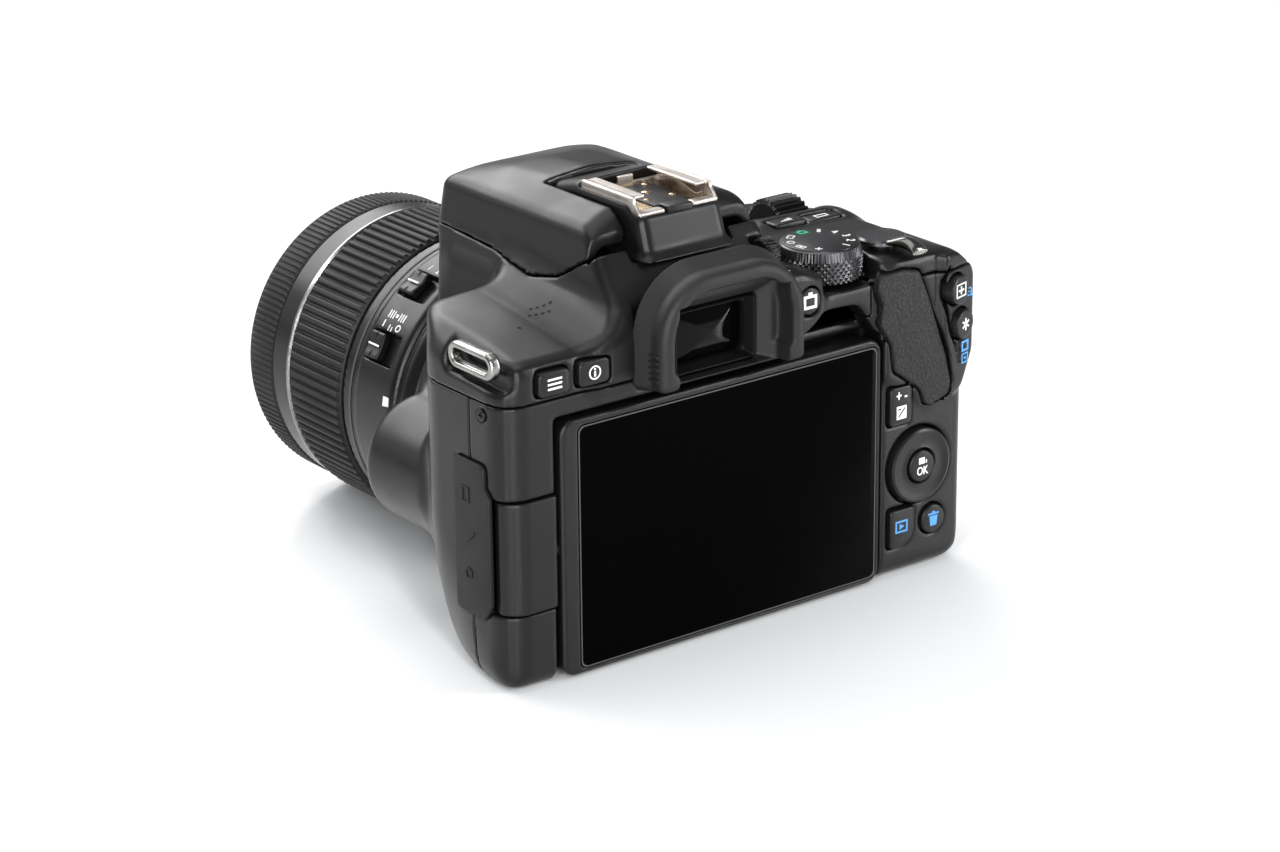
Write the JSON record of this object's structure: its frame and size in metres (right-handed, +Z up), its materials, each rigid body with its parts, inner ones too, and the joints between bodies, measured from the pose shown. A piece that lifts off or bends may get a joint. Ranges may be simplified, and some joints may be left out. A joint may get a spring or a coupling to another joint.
{
  "type": "digital single-lens reflex camera",
  "caption": "Compact SLR camera with standard zoom lens, folding screen, pop-up flash, hot shoe, finder eyecup, dials and press buttons.",
  "frame": {"origin": "middle of the bounding box at the level of the base, where the camera stands", "axes": "+Z up, -Y the way the lens looks, +Y towards the viewer, +X the viewer's left"},
  "size_m": [0.1224, 0.1326, 0.0926],
  "materials": {
    "body_plastic": "satin moulded plastic with a fine speckled grain",
    "control_plastic": "satin black moulded controls",
    "lens_plastic": "semi-gloss black lens barrel",
    "grip_rubber": "pebbled leather-grain rubber skin",
    "ring_rubber": "ribbed rubber rings and soft covers",
    "eyecup_rubber": "mid grey matte rubber",
    "inner_plastic": "flat black light-trap plastic",
    "screen_glass": "glossy black cover glass",
    "optical_glass": "coated optical glass",
    "nickel": "warm nickel plate",
    "dark_metal": "radially brushed dark metal",
    "silvered": "front-surface silvering",
    "circuit_board": "green board",
    "cell_case": "dark plastic case"
  },
  "bodies": {
    "camera_body": {"top_cover": "body_plastic", "rear_cover": "body_plastic", "front_cover": "body_plastic", "base_plate": "body_plastic", "grip_rubber": "grip_rubber", "thumb_rubber": "grip_rubber", "hot_shoe_base": "body_plastic", "hot_shoe_rails": "nickel", "viewfinder_frame": "inner_plastic", "eyepiece_lens": "optical_glass", "focusing_screen": "optical_glass", "pentamirror": "silvered", "mirror_box": "inner_plastic", "shutter_unit": "dark_metal", "image_sensor": "screen_glass", "main_board": "circuit_board", "battery": "cell_case", "memory_card": "cell_case", "tripod_socket": "nickel", "strap_lug_left": "nickel", "strap_lug_right": "nickel", "lens_mount_ring": "nickel"},
    "flash": {"flash_cap": "body_plastic", "flash_window": "optical_glass"},
    "screen_arm": {"screen_hinge_arm": "body_plastic"},
    "screen": {"screen_frame": "body_plastic", "screen_glass": "screen_glass", "screen_panel": "circuit_board", "screen_tilt_pin": "nickel"},
    "mirror": {"reflex_mirror": "silvered"},
    "eyecup": {"eyecup": "eyecup_rubber"},
    "lens": {"lens_barrel": "lens_plastic", "rear_element": "optical_glass"},
    "zoom": {"zoom_ring": "ring_rubber"},
    "lens_front": {"front_barrel": "lens_plastic", "front_element": "optical_glass"},
    "focus": {"focus_ring": "ring_rubber"},
    "focus_mode_switch": {"focus_mode_switch": "control_plastic"},
    "stabilizer_switch": {"stabilizer_switch": "control_plastic"},
    "mode_dial": {"mode_dial": "control_plastic"},
    "power_lever": {"power_lever": "dark_metal"},
    "main_dial": {"main_dial": "control_plastic"},
    "diopter_knob": {"diopter_knob": "control_plastic"},
    "menu_button": {"menu_button": "control_plastic"},
    "info_button": {"info_button": "control_plastic"},
    "live_view_button": {"live_view_button": "control_plastic"},
    "exposure_button": {"exposure_button": "control_plastic"},
    "set_button": {"set_button": "control_plastic"},
    "play_button": {"play_button": "control_plastic"},
    "erase_button": {"erase_button": "control_plastic"},
    "cross_pad": {"cross_pad": "control_plastic"},
    "focus_point_button": {"focus_point_button": "control_plastic"},
    "exposure_lock_button": {"exposure_lock_button": "control_plastic"},
    "iso_button": {"iso_button": "control_plastic"},
    "display_button": {"display_button": "control_plastic"},
    "shutter_button": {"shutter_button": "control_plastic"},
    "lens_release_button": {"lens_release_button": "control_plastic"},
    "battery_door": {"battery_door": "body_plastic"},
    "left_terminal_cover": {"left_terminal_cover": "ring_rubber"},
    "right_terminal_cover": {"right_terminal_cover": "ring_rubber"}
  },
  "joints": [
    {"name": "screen_swing", "type": "hinge", "parent": "camera_body", "child": "screen_arm", "pos_m": [0.05455, 0.0551, 0.0281], "axis": [0, 0, -1], "range_deg": [0, 165]},
    {"name": "screen_tilt", "type": "hinge", "parent": "screen_arm", "child": "screen", "pos_m": [0.05, 0.0551, 0.0281], "axis": [1, 0, 0], "range_deg": [-90, 180]},
    {"name": "flash_lift", "type": "hinge", "parent": "camera_body", "child": "flash", "pos_m": [0.0095, 0.0448, 0.0814], "axis": [-1, 0, 0], "range_deg": [0, 38]},
    {"name": "mirror_flip", "type": "hinge", "parent": "camera_body", "child": "mirror", "pos_m": [0.0095, 0.0336, 0.0454], "axis": [-1, 0, 0], "range_deg": [0, 44], "stiffness_Nm_per_rad": 0.02, "springref_deg": -17.19},
    {"name": "eyecup_slide", "type": "slide", "parent": "camera_body", "child": "eyecup", "axis": [0, 0, 1], "range_m": [0, 0.02]},
    {"name": "lens_bayonet", "type": "hinge", "parent": "camera_body", "child": "lens", "pos_m": [0.0095, -0.003, 0.0333], "axis": [0, -1, 0], "range_deg": [0, 60]},
    {"name": "zoom_turn", "type": "hinge", "parent": "lens", "child": "zoom", "pos_m": [0.0095, -0.04, 0.0333], "axis": [0, -1, 0], "range_deg": [0, 60]},
    {"name": "lens_extend", "type": "slide", "parent": "lens", "child": "lens_front", "axis": [0, -1, 0], "range_m": [0, 0.02]},
    {"name": "focus_turn", "type": "hinge", "parent": "lens_front", "child": "focus", "pos_m": [0.0095, -0.06, 0.0333], "axis": [0, -1, 0], "continuous": true},
    {"name": "focus_mode_switch_slide", "type": "slide", "parent": "lens", "child": "focus_mode_switch", "axis": [0, 1, 0], "range_m": [0, 0.0035]},
    {"name": "stabilizer_switch_slide", "type": "slide", "parent": "lens", "child": "stabilizer_switch", "axis": [0, 1, 0], "range_m": [0, 0.0035]},
    {"name": "mode_dial_turn", "type": "hinge", "parent": "camera_body", "child": "mode_dial", "pos_m": [-0.0278, 0.0473, 0.0718], "axis": [0, 0, 1], "continuous": true},
    {"name": "power_lever_turn", "type": "hinge", "parent": "camera_body", "child": "power_lever", "pos_m": [-0.0429, 0.0493, 0.0728], "axis": [0, 0, 1], "range_deg": [-25, 25]},
    {"name": "main_dial_turn", "type": "hinge", "parent": "camera_body", "child": "main_dial", "pos_m": [-0.0445, 0.0143, 0.0666], "axis": [1, 0, 0], "continuous": true},
    {"name": "diopter_turn", "type": "hinge", "parent": "camera_body", "child": "diopter_knob", "pos_m": [-0.0094, 0.0522, 0.0772], "axis": [1, 0, 0], "range_deg": [-140, 140]},
    {"name": "menu_button_press", "type": "slide", "parent": "camera_body", "child": "menu_button", "axis": [0, -1, 0], "range_m": [0, 0.0006], "stiffness_N_per_m": 400, "springref_m": -0.0004},
    {"name": "info_button_press", "type": "slide", "parent": "camera_body", "child": "info_button", "axis": [0, -1, 0], "range_m": [0, 0.0006], "stiffness_N_per_m": 400, "springref_m": -0.0004},
    {"name": "live_view_button_press", "type": "slide", "parent": "camera_body", "child": "live_view_button", "axis": [0, -1, 0], "range_m": [0, 0.0006], "stiffness_N_per_m": 400, "springref_m": -0.0004},
    {"name": "exposure_button_press", "type": "slide", "parent": "camera_body", "child": "exposure_button", "axis": [0, -1, 0], "range_m": [0, 0.0006], "stiffness_N_per_m": 400, "springref_m": -0.0004},
    {"name": "set_button_press", "type": "slide", "parent": "camera_body", "child": "set_button", "axis": [0, -1, 0], "range_m": [0, 0.0006], "stiffness_N_per_m": 400, "springref_m": -0.0004},
    {"name": "play_button_press", "type": "slide", "parent": "camera_body", "child": "play_button", "axis": [0, -1, 0], "range_m": [0, 0.0006], "stiffness_N_per_m": 400, "springref_m": -0.0004},
    {"name": "erase_button_press", "type": "slide", "parent": "camera_body", "child": "erase_button", "axis": [0, -1, 0], "range_m": [0, 0.0006], "stiffness_N_per_m": 400, "springref_m": -0.0004},
    {"name": "cross_pad_press", "type": "slide", "parent": "camera_body", "child": "cross_pad", "axis": [0, -1, 0], "range_m": [0, 0.0006], "stiffness_N_per_m": 400, "springref_m": -0.0004},
    {"name": "focus_point_button_press", "type": "slide", "parent": "camera_body", "child": "focus_point_button", "axis": [0.2756, -0.9613, 0], "range_m": [0, 0.0006], "stiffness_N_per_m": 400, "springref_m": -0.0004},
    {"name": "exposure_lock_button_press", "type": "slide", "parent": "camera_body", "child": "exposure_lock_button", "axis": [0.2756, -0.9613, 0], "range_m": [0, 0.0006], "stiffness_N_per_m": 400, "springref_m": -0.0004},
    {"name": "iso_button_press", "type": "slide", "parent": "camera_body", "child": "iso_button", "axis": [0, 0, -1], "range_m": [0, 0.0006], "stiffness_N_per_m": 400, "springref_m": -0.0004},
    {"name": "display_button_press", "type": "slide", "parent": "camera_body", "child": "display_button", "axis": [0, 0, -1], "range_m": [0, 0.0006], "stiffness_N_per_m": 400, "springref_m": -0.0004},
    {"name": "shutter_button_press", "type": "slide", "parent": "camera_body", "child": "shutter_button", "axis": [0, 0, -1], "range_m": [0, 0.0015], "stiffness_N_per_m": 400, "springref_m": -0.0004},
    {"name": "lens_release_button_press", "type": "slide", "parent": "camera_body", "child": "lens_release_button", "axis": [0, 1, 0], "range_m": [0, 0.002], "stiffness_N_per_m": 400, "springref_m": -0.0004},
    {"name": "battery_door_hinge", "type": "hinge", "parent": "camera_body", "child": "battery_door", "pos_m": [-0.0534, 0.019, 0], "axis": [0, 1, 0], "range_deg": [0, 95]},
    {"name": "left_terminal_cover_hinge", "type": "hinge", "parent": "camera_body", "child": "left_terminal_cover", "pos_m": [0.06115, 0.0415, 0.0308], "axis": [0, 0, -1], "range_deg": [0, 110]},
    {"name": "right_terminal_cover_hinge", "type": "hinge", "parent": "camera_body", "child": "right_terminal_cover", "pos_m": [-0.06065, 0.024, 0.0238], "axis": [0, 0, 1], "range_deg": [0, 110]}
  ],
  "couplings": [
    {"joint": "screen_tilt", "follows": "screen_swing", "ratio": 0.12},
    {"joint": "lens_extend", "follows": "zoom_turn", "m_per_rad": 0.019098}
  ]
}
